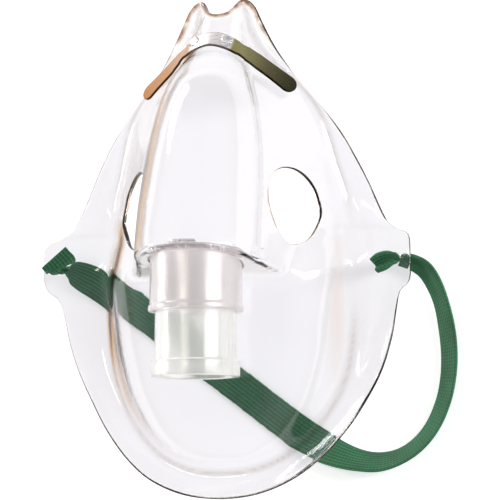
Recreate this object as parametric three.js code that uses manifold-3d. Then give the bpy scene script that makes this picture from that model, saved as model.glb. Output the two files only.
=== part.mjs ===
// Adult aerosol face mask: a clear soft shell with a nose clip, two exhalation holes, a swivelling port
// collar with a push-in 22 mm tube connector, and an elastic head strap threaded through the side tabs.
// Millimetres. The mask lies face up: +Z away from the face, +Y towards the forehead, +X to the wearer's
// left.
// The origin is on the resting plane, below the middle of the mask.
import * as THREE from "three";
import { mergeVertices } from "three/addons/utils/BufferGeometryUtils.js";
import Module from "manifold-3d";

const wasm = await Module();
wasm.setup();

// ---------------------------------------------------------------- driving dimensions
const WALL = 1.2; // thickness of the soft shell
const GAP = 0.3; // running gap between neighbouring pieces

// Outer edge of the shell seen from above, one half, from the nose bridge round to the chin.
const TAB_Y = -5; // the strap tabs' middle
const TAB_REACH = 53.8; // half the mask's greatest width, over the tabs
const BRIDGE_EDGE = [
  [0, 67], [3.2, 68], [6.3, 71.9], [9, 70.2], [11.4, 65], [15.2, 57.4], [20, 50.4], [26.4, 42.6],
];
const TEMPLE_EDGE = [[33.2, 33], [37.7, 25], [41, 18.2], [44.1, 11.2]];
const TAB_EDGE = [
  [46.6, 6.4], [50, 3.4], [53.4, 1.4], [TAB_REACH, TAB_Y], [53.4, -11], [50.4, -14], [48.9, -19],
];
const SEAL_EDGE = [[46.8, 5], [48.6, -2], [49.6, -10], [48.9, -19]];
const CHIN_EDGE = [
  [47.3, -27], [44.3, -36], [39.8, -44.6], [34.8, -52.4], [28.2, -60], [20.3, -66.2], [10.6, -70.2],
  [0, -71.4],
];

// Height of the seal line, where the shell comes nearest the wearer. It rests at the cheeks and rises to
// both ends.
const SEAL_REST = 1.08; // height of the shell's outer face where its inner face rests
const SEAL_RISE = [
  [-74, 12], [-66, 9.5], [-58, 6], [-50, 3], [-42, 0.8], [-35, 0], [-20, 0], [4, 0], [12, 0.2], [18, 1.2],
  [25, 2.8], [34, 4.4], [44, 6.2], [52, 7.8], [60, 9], [72, 9.5],
];
const TAB_RISE = 4.6; // more where the strap passes under the tabs
const TAB_RISE_REACH = 11.5;

// Nose: a round-topped bulb between two flat flanks, cut off by the steep underside that the port
// passes through.
const CREST_HEIGHT = [
  [-12, 54.6], [-6, 54.6], [2, 53.2], [12, 50], [26, 45], [38, 40], [45, 35.6], [50.5, 29.8],
  [54.5, 25.8], [58, 22.8], [62, 20.2], [66, 17.6], [74, 13],
];
const BULB_RADIUS = [
  [-12, 17.4], [0, 17.4], [12, 17.2], [22, 16.5], [30, 15.5], [38, 14], [44, 12.2], [50, 10], [55, 8.3],
  [72, 6.8],
];
const FLANK_SLOPE = [
  [-12, 5], [-6, 4.6], [-1, 2.9], [5, 1.8], [12, 1.64], [24, 1.5], [36, 1.25], [48, 1.1], [72, 1.2],
];
const FLANK_FALL = 1.5; // how far the flanks' upper edges lie below the bulb's widest line
const BULB_FLARE = 0.3; // how much the bulb widens for each millimetre below that line
const SHELF_Y = -6.3;
const SHELF_TOP = 54.6;
const SHELF_SLOPE = Math.tan(THREE.MathUtils.degToRad(82));
const LIP_RADIUS = 1.7;

// Mouth and chin dome, and the flared sealing flange around it.
const DOME_HEIGHT = [[-80, 19.5], [-50, 21.5], [-32, 23.2], [-9, 24], [4, 18], [16, 12], [72, 7]];
const DOME_CROWN = 95; // radius of the dome's flat crown, across
const DOME_SLOPE = Math.tan(THREE.MathUtils.degToRad(65));
const DOME_EDGE = 7;
const FLANGE_WIDTH = [
  [-80, 6.8], [-60, 6.6], [-48, 7.2], [-40, 8], [-30, 10.2], [-20, 12], [-10, 13], [2, 12], [16, 9],
  [30, 6], [44, 3.4], [72, 2.6],
];
const FLANGE_CURL = 0.33; // how far the flange's outer edge curls up, as a share of its width, and at most
const MOST_CURL = 3.5;
const TAB_FLARE = 0.35; // rise of the tabs for each millimetre outwards

// Exhalation holes, one in each flank of the nose.
const VENT = {
  x: 24.6,
  y: 9.8,
  z: 21.6,
  radius: 11.25,
  axis: new THREE.Vector3(0.84, 0.2, 0.505).normalize(),
};
const STRAP_HOLE = { x: 49.6, y: TAB_Y, radius: 2.25 };

// Port: its axis runs along -Y from the nose's underside.
const PORT_Z = 39;
const COLLAR = { radius: 12.55, bore: 11, stop: 9.9, inner: -4.6, outer: -22, lip: 12.95 };
const CONNECTOR = {
  spigot: 10.7,
  tube: 11.05,
  bore: 9.5,
  rim: 12.05,
  inner: -6.6,
  shoulder: -22.3,
  rimTop: -35.3,
  end: -39.6,
};

// Nose clip: a flat aluminium strip that crosses the bridge and sweeps down both sides, with its height
// at |x|.
const CLIP = {
  width: 5.8,
  thick: 0.7,
  reach: 22.6,
  crestY: 57.6,
  sweep: 0.86,
  bend: 7,
  stakeX: 4.4,
  hole: 1.3,
  twist: 0.5,
};
const CLIP_HEIGHT = [
  [0, 24.8], [2.5, 24.6], [5.2, 23.9], [8, 22.4], [11, 20.2], [14, 18.2], [18, 16.6], [22.6, 14.8],
];
const STAKE = { shank: 1, head: 1.75, headHeight: 0.75 };

// Head strap: flat woven elastic.
const STRAP = { width: 9.6, thick: 1 };

// ---------------------------------------------------------------- small maths
// Two depths inside neighbouring shapes, joined with a fillet of about the given reach.
function join(a, b, reach) {
  const h = Math.max(reach - Math.abs(a - b), 0) / reach;
  return Math.max(a, b) + (h * h * reach) / 4;
}

// The depth inside what two shapes share, with the edge between them rounded.
function meet(a, b, radius) {
  return Math.max(radius, Math.min(a, b)) - Math.hypot(Math.max(radius - a, 0), Math.max(radius - b, 0));
}

// A smooth function through points [at, value], in order of at, level beyond both ends.
function through(points) {
  const slope = (i) => {
    const a = points[Math.max(i - 1, 0)];
    const b = points[Math.min(i + 1, points.length - 1)];
    return (b[1] - a[1]) / (b[0] - a[0]);
  };
  return (at) => {
    if (at <= points[0][0]) return points[0][1];
    const i = points.findIndex((p) => p[0] >= at);
    if (i < 0) return points[points.length - 1][1];
    const [x0, v0] = points[i - 1];
    const [x1, v1] = points[i];
    const span = x1 - x0;
    const t = (at - x0) / span;
    const t2 = t * t;
    const t3 = t2 * t;
    return (
      (2 * t3 - 3 * t2 + 1) * v0 +
      (t3 - 2 * t2 + t) * span * slope(i - 1) +
      (-2 * t3 + 3 * t2) * v1 +
      (t3 - t2) * span * slope(i)
    );
  };
}

// The closed outline whose right half is given, as a dense ring of points.
function outline(half, perSpan = 6) {
  const left = half.slice(1, -1).reverse().map(([x, y]) => [-x, y]);
  const corners = [...half, ...left].map(([x, y]) => new THREE.Vector3(x, y, 0));
  const curve = new THREE.CatmullRomCurve3(corners, true, "catmullrom", 0.5);
  const count = corners.length * perSpan;
  return Array.from({ length: count }, (_, i) => curve.getPoint(i / count));
}

// Distance from a point to the ring, positive inside it.
function depthInside(ring, x, y) {
  let nearest = Infinity;
  let inside = false;
  for (let i = 0; i < ring.length; i++) {
    const a = ring[i];
    const b = ring[(i + 1) % ring.length];
    const dx = b.x - a.x;
    const dy = b.y - a.y;
    const t = THREE.MathUtils.clamp(((x - a.x) * dx + (y - a.y) * dy) / (dx * dx + dy * dy), 0, 1);
    nearest = Math.min(nearest, Math.hypot(x - a.x - t * dx, y - a.y - t * dy));
    if (a.y > y !== b.y > y && x < a.x + ((y - a.y) / dy) * dx) inside = !inside;
  }
  return inside ? nearest : -nearest;
}

// ---------------------------------------------------------------- the shell's shape
const rim = outline([...BRIDGE_EDGE, ...TEMPLE_EDGE, ...TAB_EDGE, ...CHIN_EDGE]);
const seal = outline([...BRIDGE_EDGE, ...TEMPLE_EDGE, ...SEAL_EDGE, ...CHIN_EDGE]);
const sealRise = through(SEAL_RISE);
const crestHeight = through(CREST_HEIGHT);
const bulbRadius = through(BULB_RADIUS);
const flankSlope = through(FLANK_SLOPE);
const domeHeight = through(DOME_HEIGHT);
const flangeWidth = through(FLANGE_WIDTH);

// The shell's outer face over one place, as a function of height: how deep a point lies beneath it.
function depthUnder(x, y) {
  const across = Math.abs(x);
  const radius = bulbRadius(y);
  const centre = crestHeight(y) - radius;
  const flank = flankSlope(y);
  const depth = depthInside(seal, x, y);
  const width = flangeWidth(y);
  const line = SEAL_REST + sealRise(y) + TAB_RISE * Math.exp(-(((y - TAB_Y) / TAB_RISE_REACH) ** 2));
  const curl = Math.max(1 - depth / width, 0);
  const mostCurl = Math.min(FLANGE_CURL * width, MOST_CURL);
  const flange = line + mostCurl * Math.min(curl, 1) ** 2 + TAB_FLARE * Math.max(-depth, 0);
  const crown = domeHeight(y) - (x * x) / (2 * DOME_CROWN);
  return (z) => {
    const fromCentre = Math.hypot(across, Math.max(z - centre, 0));
    const inBulb = radius + BULB_FLARE * Math.max(centre - z, 0) - fromCentre;
    const belowFold = centre - FLANK_FALL - z;
    const inFlanks = meet((belowFold - (across - radius) * flank) / Math.hypot(1, flank), belowFold, 1);
    const aboveShelf = y - SHELF_Y + (SHELF_TOP - z) / SHELF_SLOPE;
    const inShelf = aboveShelf * (SHELF_SLOPE / Math.hypot(1, SHELF_SLOPE));
    const inNose = meet(join(inBulb, inFlanks, 2), inShelf, LIP_RADIUS);
    const inWall = (line - z + (depth - width) * DOME_SLOPE) / Math.hypot(1, DOME_SLOPE);
    const inDome = meet(crown - z, inWall, DOME_EDGE);
    return join(join(inNose, inDome, 4), flange - z, 3);
  };
}

// Height above the resting plane at which the shell is the given depth under its outer face.
function shellHeight(x, y, inset = 0) {
  const under = depthUnder(x, y);
  let low = -3;
  let high = 60;
  for (let i = 0; i < 26; i++) {
    const middle = (low + high) / 2;
    if (under(middle) > inset) low = middle;
    else high = middle;
  }
  return low;
}

function surfacePoint(x, y) {
  return new THREE.Vector3(x, y, shellHeight(x, y));
}

function surfaceNormal(x, y, step = 0.4) {
  const alongX = surfacePoint(x + step, y).sub(surfacePoint(x - step, y));
  const alongY = surfacePoint(x, y + step).sub(surfacePoint(x, y - step));
  return alongX.cross(alongY).normalize();
}

// ---------------------------------------------------------------- solids
function geometryOf(vertices, triangles) {
  const geometry = new THREE.BufferGeometry();
  geometry.setAttribute("position", new THREE.Float32BufferAttribute(vertices.flat(), 3));
  geometry.setIndex(triangles.flat());
  return geometry;
}

function solidOf(geometry) {
  const bare = geometry.clone();
  bare.deleteAttribute("normal");
  bare.deleteAttribute("uv");
  const merged = mergeVertices(bare, 1e-3);
  return new wasm.Manifold(
    new wasm.Mesh({
      numProp: 3,
      vertProperties: merged.attributes.position.array,
      triVerts: new Uint32Array(merged.index.array),
    }),
  );
}

function geometryFrom(solid) {
  const mesh = solid.getMesh();
  const geometry = new THREE.BufferGeometry();
  geometry.setAttribute("position", new THREE.BufferAttribute(new Float32Array(mesh.vertProperties), 3));
  geometry.setIndex(new THREE.BufferAttribute(new Uint32Array(mesh.triVerts), 1));
  return geometry;
}

// A cylinder solid centred on a point, along an axis.
function rod(centre, axis, radius, length, sides = 32) {
  const geometry = new THREE.CylinderGeometry(radius, radius, length, sides);
  geometry.applyQuaternion(new THREE.Quaternion().setFromUnitVectors(new THREE.Vector3(0, 1, 0), axis));
  geometry.translate(centre.x, centre.y, centre.z);
  return solidOf(geometry);
}

// Grid lines from low to high, with a finer step between the two given places.
function gridLines(low, high, step, fineFrom, fineTo, fineStep) {
  const lines = [];
  for (let at = low; at < high; at += at >= fineFrom && at < fineTo ? fineStep : step) lines.push(at);
  return [...lines, high];
}

// The shell between its outer and inner faces, cut along the rim, from a grid seen from above.
function shellSheet() {
  const half = gridLines(0, TAB_REACH + 1.5, 2.6, 11.6, 17.8, 1);
  const xs = [...half.slice(1).reverse().map((x) => -x), ...half];
  const ys = gridLines(-73, 73.4, 2.6, SHELF_Y - 5.2, SHELF_Y + 1.4, 0.6);
  const depth = ys.map((y) => xs.map((x) => depthInside(rim, x, y)));
  const places = [];
  const known = new Map();
  const place = (key, x, y) => {
    if (!known.has(key)) {
      known.set(key, places.length);
      places.push([x, y]);
    }
    return known.get(key);
  };
  const node = (i, j) => place(`${i},${j}`, xs[i], ys[j]);
  const crossing = (i0, j0, i1, j1) => {
    const t = THREE.MathUtils.clamp(depth[j0][i0] / (depth[j0][i0] - depth[j1][i1]), 0.08, 0.92);
    const key = [`${i0},${j0}`, `${i1},${j1}`].sort().join("|");
    return place(key, xs[i0] + t * (xs[i1] - xs[i0]), ys[j0] + t * (ys[j1] - ys[j0]));
  };
  const cells = [];
  for (let j = 0; j + 1 < ys.length; j++) {
    for (let i = 0; i + 1 < xs.length; i++) {
      const corners = [[i, j], [i + 1, j], [i + 1, j + 1], [i, j + 1]];
      const cell = [];
      corners.forEach(([ci, cj], k) => {
        const [ni, nj] = corners[(k + 1) % 4];
        const here = depth[cj][ci] > 0;
        if (here) cell.push(node(ci, cj));
        if (here !== depth[nj][ni] > 0) cell.push(crossing(ci, cj, ni, nj));
      });
      if (cell.length > 2) cells.push(cell);
    }
  }
  const count = places.length;
  const outer = places.map(([x, y]) => [x, y, shellHeight(x, y)]);
  const inner = places.map(([x, y]) => [x, y, shellHeight(x, y, WALL)]);
  const triangles = [];
  const edges = new Map();
  for (const cell of cells) {
    for (let k = 1; k + 1 < cell.length; k++) {
      triangles.push([cell[0], cell[k], cell[k + 1]]);
      triangles.push([cell[0] + count, cell[k + 1] + count, cell[k] + count]);
    }
    cell.forEach((a, k) => {
      const b = cell[(k + 1) % cell.length];
      if (edges.has(`${b},${a}`)) edges.delete(`${b},${a}`);
      else edges.set(`${a},${b}`, [a, b]);
    });
  }
  for (const [a, b] of edges.values()) {
    triangles.push([a, a + count, b]);
    triangles.push([b, a + count, b + count]);
  }
  return solidOf(geometryOf([...outer, ...inner], triangles));
}

function shellGeometry() {
  let shell = shellSheet();
  for (const side of [-1, 1]) {
    const centre = new THREE.Vector3(side * VENT.x, VENT.y, VENT.z);
    const axis = VENT.axis.clone().multiply(new THREE.Vector3(side, 1, 1));
    shell = shell.subtract(rod(centre.addScaledVector(axis, 6), axis, VENT.radius, 24, 40));
    const hole = new THREE.Vector3(side * STRAP_HOLE.x, STRAP_HOLE.y, 8);
    shell = shell.subtract(rod(hole, new THREE.Vector3(0, 0, 1), STRAP_HOLE.radius, 16, 16));
  }
  const port = new THREE.Vector3(0, SHELF_Y - 4, PORT_Z);
  const along = new THREE.Vector3(0, 1, 0);
  return geometryFrom(shell.subtract(rod(port, along, COLLAR.radius + GAP, 14, 48)));
}

// A turned ring about the port's axis, from [radius, y] corners of its section.
function turned(section, sides) {
  const points = [...section, section[0]].map(([radius, y]) => new THREE.Vector2(radius, y));
  const geometry = new THREE.LatheGeometry(points, sides);
  geometry.translate(0, 0, PORT_Z);
  return geometry;
}

function collarGeometry() {
  const { radius, bore, stop, inner, outer, lip } = COLLAR;
  return turned(
    [
      [bore, outer],
      [lip - 0.4, outer],
      [lip, outer + 0.6],
      [lip, outer + 1.4],
      [radius, outer + 2],
      [radius, inner - 0.4],
      [radius - 0.4, inner],
      [stop, inner],
      [stop, inner - 1.2],
      [bore, inner - 1.4],
    ],
    48,
  );
}

function connectorGeometry() {
  const { spigot, tube, bore, rim: rimRadius, inner, shoulder, rimTop, end } = CONNECTOR;
  return turned(
    [
      [bore, end],
      [rimRadius - 0.4, end],
      [rimRadius, end + 0.4],
      [rimRadius, rimTop],
      [tube, rimTop],
      [tube, shoulder],
      [spigot, shoulder],
      [spigot, inner - 0.6],
      [spigot - 0.6, inner],
      [bore, inner],
    ],
    48,
  );
}

// A solid through stations { centre, side, up, width, thick }: a rounded rectangle swept along them.
function swept(stations) {
  const vertices = [];
  const triangles = [];
  const corner = 0.42;
  for (const { centre, side, up, width, thick } of stations) {
    const a = width / 2;
    const b = thick / 2;
    const c = corner * Math.min(a, b);
    const section = [
      [a, -b + c], [a, b - c], [a - c, b], [-a + c, b],
      [-a, b - c], [-a, -b + c], [-a + c, -b], [a - c, -b],
    ];
    for (const [s, u] of section) {
      vertices.push(centre.clone().addScaledVector(side, s).addScaledVector(up, u).toArray());
    }
  }
  const sides = 8;
  for (let i = 0; i + 1 < stations.length; i++) {
    for (let k = 0; k < sides; k++) {
      const a = i * sides + k;
      const b = i * sides + ((k + 1) % sides);
      triangles.push([a, a + sides, b]);
      triangles.push([b, a + sides, b + sides]);
    }
  }
  const last = (stations.length - 1) * sides;
  for (let k = 1; k + 1 < sides; k++) {
    triangles.push([0, k, k + 1]);
    triangles.push([last, last + k + 1, last + k]);
  }
  const geometry = geometryOf(vertices, triangles);
  if (solidOf(geometry).volume() < 0) {
    geometry.setIndex(triangles.map(([a, b, c]) => [a, c, b]).flat());
  }
  return geometry;
}

// ---------------------------------------------------------------- nose clip and its two stakes
function clipLineY(x) {
  return CLIP.crestY - (Math.hypot(CLIP.sweep * x, CLIP.bend) - CLIP.bend);
}

const clipHeight = through(CLIP_HEIGHT);

function clipPoint(x) {
  return new THREE.Vector3(x, clipLineY(x), clipHeight(Math.abs(x)));
}

// Middle of the strip at x, with its directions: across it and out of the shell.
// Its arms are twisted a little, so they tip towards the bridge less than the shell under them does.
function clipStation(x) {
  const along = clipPoint(x + 0.5).sub(clipPoint(x - 0.5)).normalize();
  const normal = surfaceNormal(x, clipLineY(x), 3);
  normal.y *= 1 - CLIP.twist * Math.min(Math.abs(x) / 12, 1);
  const side = new THREE.Vector3().crossVectors(normal, along).normalize();
  const up = new THREE.Vector3().crossVectors(along, side).normalize();
  return { centre: clipPoint(x), side, up };
}

function clipGeometry() {
  const count = 36;
  const stations = [];
  for (let i = 0; i <= count; i++) {
    const x = -CLIP.reach * Math.cos((Math.PI * i) / count);
    const toEnd = (CLIP.reach - Math.abs(x)) * 1.9;
    const round = Math.min(toEnd / (CLIP.width / 2), 1);
    const width = CLIP.width * Math.max(Math.sqrt(1 - (1 - round) ** 2), 0.3);
    stations.push({ ...clipStation(x), width, thick: CLIP.thick });
  }
  let clip = solidOf(swept(stations));
  for (const side of [-1, 1]) {
    const { centre, up } = clipStation(side * CLIP.stakeX);
    clip = clip.subtract(rod(centre, up, CLIP.hole, 4, 20));
  }
  return geometryFrom(clip);
}

// A stake: a shank through the clip's hole and a flattened round head over it.
function stakeGeometry(side) {
  const { centre, up } = clipStation(side * CLIP.stakeX);
  const foot = -CLIP.thick / 2 - GAP;
  const over = CLIP.thick / 2 + GAP;
  const { shank, head, headHeight } = STAKE;
  const profile = [
    [0, foot],
    [shank, foot],
    [shank, over],
    [head, over],
    [head, over + headHeight * 0.35],
    [head * 0.8, over + headHeight * 0.8],
    [head * 0.45, over + headHeight],
    [0, over + headHeight],
  ].map(([radius, height]) => new THREE.Vector2(radius, height));
  const geometry = new THREE.LatheGeometry(profile, 20);
  geometry.applyQuaternion(new THREE.Quaternion().setFromUnitVectors(new THREE.Vector3(0, 1, 0), up));
  geometry.translate(centre.x, centre.y, centre.z);
  return geometry;
}

// ---------------------------------------------------------------- head strap
// Each point of the strap's route: x, y, height of its middle (null where its lower edge lies on the
// resting plane), lean of its width from flat in degrees, width, thickness.
const BAND_ROUTE = [
  [-47.7, -5.5, 3.4, 0, 6.8, 1.5],
  [-44.8, -6.9, 2.3, 0, 8.6, 1.15],
  [-40.9, -8.9, 1.3, 0, 9.4, 1.05],
  [-36.2, -11.9, 0.7, 0, 9.5, 1],
  [-28.5, -17, null, 0, 9.6, 1],
  [-17, -25.2, null, 0, 9.6, 1],
  [-5.4, -34, null, 0, 9.6, 1],
  [5.8, -42.4, null, 0, 9.6, 1],
  [14.7, -49.2, null, 0, 9.6, 1],
  [21.4, -54, null, 6, 9.6, 1],
  [27.2, -57.5, null, 22, 9.6, 1],
  [32.8, -60, null, 40, 9.6, 1],
  [38.6, -61.6, null, 52, 9.6, 1],
  [44.4, -62, null, 56, 9.6, 1],
  [50, -60.5, null, 60, 9.6, 1],
  [55.1, -57.2, null, 60, 9.6, 1],
  [59.4, -52, null, 59, 9.6, 1],
  [62.5, -45, null, 58, 9.6, 1],
  [64, -37.9, null, 57, 9.6, 1],
  [64.3, -30.9, null, 56, 9.6, 1],
  [63.6, -23.9, null, 56, 9.4, 1],
  [62.2, -17.1, 4.5, 57, 8.8, 1.1],
  [60.1, -11.6, 4.4, 50, 7.6, 1.3],
  [57.6, -7.8, 4.1, 36, 6, 1.6],
  [54.4, -5.7, 3.7, 15, 4.8, 1.9],
  [52.4, -5.1, 3.5, 0, 4.2, 2],
];

function bandHeight([, , height, lean, width, thick]) {
  const angle = THREE.MathUtils.degToRad(lean);
  return height ?? (width / 2) * Math.sin(angle) + (thick / 2) * Math.cos(angle) + 0.08;
}

function routeStations(route, perSpan) {
  const curve = new THREE.CatmullRomCurve3(
    route.map((point) => new THREE.Vector3(point[0], point[1], bandHeight(point))),
    false,
    "catmullrom",
    0.5,
  );
  const value = (column) => through(route.map((point, i) => [i, point[column]]));
  const [lean, width, thick] = [value(3), value(4), value(5)];
  const count = (route.length - 1) * perSpan;
  return Array.from({ length: count + 1 }, (_, i) => {
    const centre = curve.getPoint(i / count);
    const along = curve.getTangent(i / count);
    const level = along.clone().cross(new THREE.Vector3(0, 0, 1)).normalize();
    const above = level.clone().cross(along).normalize();
    const angle = THREE.MathUtils.degToRad(lean(i / perSpan));
    const side = level.clone().multiplyScalar(Math.cos(angle)).addScaledVector(above, Math.sin(angle));
    const up = along.clone().cross(side).normalize();
    return { centre, side, up, width: width(i / perSpan), thick: thick(i / perSpan) };
  });
}

// A strap end that comes up through a tab's hole. Each point: x, y, z, direction of its width in plan,
// width, thickness.
function tailStations(points, perSpan) {
  const curve = new THREE.CatmullRomCurve3(
    points.map(([x, y, z]) => new THREE.Vector3(x, y, z)),
    false,
    "catmullrom",
    0.5,
  );
  const value = (column) => through(points.map((point, i) => [i, point[column]]));
  const [turn, width, thick] = [value(3), value(4), value(5)];
  const count = (points.length - 1) * perSpan;
  return Array.from({ length: count + 1 }, (_, i) => {
    const along = curve.getTangent(i / count);
    const angle = THREE.MathUtils.degToRad(turn(i / perSpan));
    const across = new THREE.Vector3(Math.cos(angle), Math.sin(angle), 0);
    const up = along.clone().cross(across).normalize();
    const side = up.clone().cross(along).normalize();
    const centre = curve.getPoint(i / count);
    return { centre, side, up, width: width(i / perSpan), thick: thick(i / perSpan) };
  });
}

const LEFT_TAIL = [
  [-48.2, -5.6, 3.6, 50, 3.2, 1.7],
  [-49.3, -5.1, 4.3, 50, 3.1, 1.9],
  [-49.6, -5, 6.6, 48, 3.1, 2],
  [-49.5, -5.1, 9.3, 44, 3.6, 1.7],
  [-49.1, -5.1, 11.1, 40, 6.4, 1.2],
  [-48.6, -4.6, 12.2, 38, 9.6, 1],
  [-49.4, -3.4, 13.1, 38, 9.6, 1],
  [-50.4, -2.2, 13.5, 38, 9.6, 1],
];

const RIGHT_TAIL = [
  [51.2, -5, 3.6, 90, 3.2, 1.8],
  [49.9, -5, 4.3, 90, 3.1, 2],
  [49.6, -5, 6.6, 90, 3.1, 2.4],
  [49.4, -5.1, 9.6, 90, 3.6, 2.8],
  [48.2, -5.5, 11.4, 90, 5, 3.3],
  [46.3, -6.3, 11.8, 90, 5.6, 3.4],
  [44.5, -7.2, 11.4, 90, 5, 3.1],
];

// ---------------------------------------------------------------- materials and assembly
function plastic(color, roughness, opacity) {
  return new THREE.MeshStandardMaterial({ color, roughness, metalness: 0, transparent: true, opacity });
}

const clearPvc = plastic(0xeef0f2, 0.08, 0.35);
const collarPvc = plastic(0xe2dcdf, 0.15, 0.5);
const connectorPlastic = plastic(0xe9e7e2, 0.3, 0.8);
const aluminium = new THREE.MeshStandardMaterial({ color: 0xb9b7ae, roughness: 0.3, metalness: 1 });
const elastic = new THREE.MeshStandardMaterial({ color: 0x2f6b4f, roughness: 0.85, metalness: 0 });

function part(name, geometry, material) {
  const mesh = new THREE.Mesh(geometry, material);
  mesh.name = name;
  return mesh;
}

const mask = new THREE.Group();
mask.add(part("mask_shell", shellGeometry(), clearPvc));
mask.add(part("port_collar", collarGeometry(), collarPvc));
mask.add(part("tube_connector", connectorGeometry(), connectorPlastic));
mask.add(part("nose_clip", clipGeometry(), aluminium));
mask.add(part("clip_stake_left", stakeGeometry(-1), clearPvc));
mask.add(part("clip_stake_right", stakeGeometry(1), clearPvc));
mask.add(part("strap_band", swept(routeStations(BAND_ROUTE, 3)), elastic));
mask.add(part("strap_left_tail", swept(tailStations(LEFT_TAIL, 3)), elastic));
mask.add(part("strap_right_tail", swept(tailStations(RIGHT_TAIL, 3)), elastic));

export default mask;
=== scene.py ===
"""Looks of the clear aerosol face mask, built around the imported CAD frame.

Blender works in metres. The object's sizes below are in millimetres, and make_piece scales each piece by MM.
The places of the camera and the lamps are in metres.
"""

import math

import bpy
import numpy as np
from mathutils import Matrix, Vector
from mathutils.geometry import delaunay_2d_cdt


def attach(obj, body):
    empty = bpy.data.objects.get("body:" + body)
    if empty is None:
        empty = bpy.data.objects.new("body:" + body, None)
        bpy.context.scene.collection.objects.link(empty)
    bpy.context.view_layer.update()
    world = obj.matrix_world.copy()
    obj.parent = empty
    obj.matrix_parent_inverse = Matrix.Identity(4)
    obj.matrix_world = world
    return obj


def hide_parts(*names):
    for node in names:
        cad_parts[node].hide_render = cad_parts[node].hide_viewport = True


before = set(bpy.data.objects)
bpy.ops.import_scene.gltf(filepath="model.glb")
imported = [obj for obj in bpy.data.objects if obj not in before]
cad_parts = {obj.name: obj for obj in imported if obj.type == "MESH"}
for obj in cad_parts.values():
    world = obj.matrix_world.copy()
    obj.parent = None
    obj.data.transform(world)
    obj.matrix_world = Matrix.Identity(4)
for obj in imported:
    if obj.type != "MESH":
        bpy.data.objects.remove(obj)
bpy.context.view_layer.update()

MM = 0.001

# ---------------------------------------------------------------- dimensions, as in the CAD part
WALL = 1.2
GAP = 0.3  # kept between pieces that touch

# The right half of the rim seen from above. The seal edge runs past the tab instead of around it.
TAB_Y = -5
BRIDGE_EDGE = [(0, 67), (3.2, 68), (6.3, 71.9), (9, 70.2), (11.4, 65), (15.2, 57.4), (20, 50.4), (26.4, 42.6)]
TEMPLE_EDGE = [(33.2, 33), (37.7, 25), (41, 18.2), (44.1, 11.2)]
TAB_EDGE = [(46.6, 6.4), (50, 3.4), (53.4, 1.4), (53.8, TAB_Y), (53.4, -11), (50.4, -14), (48.9, -19)]
SEAL_EDGE = [(46.8, 5), (48.6, -2), (49.6, -10), (48.9, -19)]
CHIN_EDGE = [(47.3, -27), (44.3, -36), (39.8, -44.6), (34.8, -52.4), (28.2, -60), (20.3, -66.2),
             (10.6, -70.2), (0, -71.4)]

# Height of the seal line along the mask, which rests at the cheeks and rises to both ends and at the tabs.
SEAL_REST = 1.08
SEAL_RISE = [(-74, 12), (-66, 9.5), (-58, 6), (-50, 3), (-42, 0.8), (-35, 0), (-20, 0), (4, 0), (12, 0.2),
             (18, 1.2), (25, 2.8), (34, 4.4), (44, 6.2), (52, 7.8), (60, 9), (72, 9.5)]
TAB_RISE = 4.6
TAB_RISE_REACH = 11.5

# Nose: a round-topped bulb between two flat flanks, cut off by the steep underside that the port passes.
CREST_HEIGHT = [(-12, 54.6), (-6, 54.6), (2, 53.2), (12, 50), (26, 45), (38, 40), (45, 35.6), (50.5, 29.8),
                (54.5, 25.8), (58, 22.8), (62, 20.2), (66, 17.6), (74, 13)]
BULB_RADIUS = [(-12, 17.4), (0, 17.4), (12, 17.2), (22, 16.5), (30, 15.5), (38, 14), (44, 12.2), (50, 10),
               (55, 8.3), (72, 6.8)]
FLANK_SLOPE = [(-12, 5), (-6, 4.6), (-1, 2.9), (5, 1.8), (12, 1.64), (24, 1.5), (36, 1.25), (48, 1.1),
               (72, 1.2)]
FLANK_FALL = 1.5  # how far the flanks' upper edges lie below the bulb's widest line
BULB_FLARE = 0.3  # how much the bulb widens for each millimetre below that line
SHELF_Y = -6.3
SHELF_TOP = 54.6
SHELF_SLOPE = math.tan(math.radians(82))
LIP_RADIUS = 1.7

# Mouth and chin dome, and the flared sealing flange around it.
DOME_HEIGHT = [(-80, 19.5), (-50, 21.5), (-32, 23.2), (-9, 24), (4, 18), (16, 12), (72, 7)]
DOME_CROWN = 95
DOME_SLOPE = math.tan(math.radians(65))
DOME_EDGE = 7
FLANGE_WIDTH = [(-80, 6.8), (-60, 6.6), (-48, 7.2), (-40, 8), (-30, 10.2), (-20, 12), (-10, 13), (2, 12),
                (16, 9), (30, 6), (44, 3.4), (72, 2.6)]
FLANGE_CURL = 0.33
MOST_CURL = 3.5
TAB_FLARE = 0.35

# Exhalation holes in the nose's flanks, strap holes in the tabs, and the port with what it holds.
VENT_CENTRE = np.array([24.6, 9.8, 21.6])
VENT_AXIS = np.array([0.84, 0.2, 0.505]) / np.linalg.norm([0.84, 0.2, 0.505])
VENT_RADIUS = 11.25
STRAP_HOLE = (49.6, TAB_Y, 2.25)
PORT_Z = 39
COLLAR = {"radius": 12.55, "bore": 11, "stop": 9.9, "inner": -4.6, "outer": -22, "lip": 12.95}
CONNECTOR = {"spigot": 10.7, "tube": 11.05, "bore": 9.5, "rim": 12.05,
             "inner": -6.6, "shoulder": -22.3, "rim_top": -35.3, "end": -39.6}

# Nose clip, with its height at |x|, and the stakes that hold it.
CLIP = {"width": 5.8, "thick": 0.7, "reach": 22.6, "crest_y": 57.6, "sweep": 0.86, "bend": 7,
        "stake_x": 4.4, "twist": 0.5, "twist_reach": 12}
CLIP_HEIGHT = [(0, 24.8), (2.5, 24.6), (5.2, 23.9), (8, 22.4), (11, 20.2), (14, 18.2), (18, 16.6),
               (22.6, 14.8)]

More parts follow.
